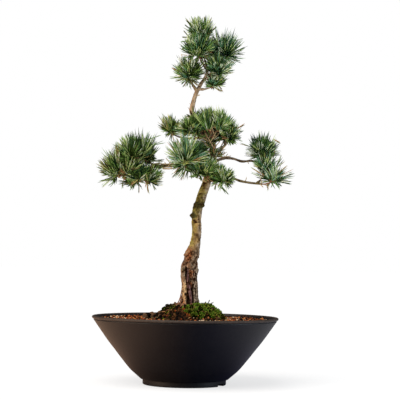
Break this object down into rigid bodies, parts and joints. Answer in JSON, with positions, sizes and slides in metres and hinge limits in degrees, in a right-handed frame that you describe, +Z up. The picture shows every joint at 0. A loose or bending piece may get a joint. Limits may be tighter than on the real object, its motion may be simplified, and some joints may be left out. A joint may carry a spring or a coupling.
{
  "type": "japanese white pine bonsai",
  "caption": "Potted white pine bonsai: curving trunk on raised roots, boughs with tufted masses of needles, moss and grit in a round flared bowl with a drained foot.",
  "frame": {"origin": "middle of the flat underside of the pot's foot, on the pot's axis", "axes": "+Z up along the pot's axis, the front of the tree towards -Y, the long low bough towards -X"},
  "size_m": [0.3321, 0.3, 0.5968],
  "materials": {
    "pot_black": "matte near-black, faintly smooth",
    "grit_soil": "loose reddish clay grit",
    "moss_green": "short soft moss",
    "bark": "scaly bark with lichen",
    "needle_green": "waxy needles, green with pale inner faces"
  },
  "bodies": {
    "root": {"bough_back_low": "bark", "bough_back_mid": "bark", "bough_far_left": "bark", "bough_front_left": "bark", "bough_front_middle": "bark", "bough_front_right": "bark", "bough_left_low": "bark", "bough_left_under": "bark", "bough_left_upper": "bark", "bough_mid_left": "bark", "bough_mid_right": "bark", "bough_right_inner": "bark", "bough_right_low": "bark", "bough_right_mid": "bark", "bough_right_raised": "bark", "bough_top_back": "bark", "bough_top_front": "bark", "bough_top_left": "bark", "bough_top_low_right": "bark", "bough_top_mid_right": "bark", "bough_top_right": "bark", "moss_left": "moss_green", "moss_right": "moss_green", "needles_back_low": "needle_green", "needles_back_mid": "needle_green", "needles_crown": "needle_green", "needles_far_left": "needle_green", "needles_front_left": "needle_green", "needles_front_middle": "needle_green", "needles_front_right": "needle_green", "needles_left_lower": "needle_green", "needles_left_under": "needle_green", "needles_left_upper": "needle_green", "needles_mid_left": "needle_green", "needles_mid_right": "needle_green", "needles_right_inner": "needle_green", "needles_right_low": "needle_green", "needles_right_mid": "needle_green", "needles_right_raised": "needle_green", "needles_top_back": "needle_green", "needles_top_front": "needle_green", "needles_top_left": "needle_green", "needles_top_low_right": "needle_green", "needles_top_mid_right": "needle_green", "needles_top_right": "needle_green", "pot": "pot_black", "soil": "grit_soil", "trunk": "bark"}
  },
  "joints": []
}
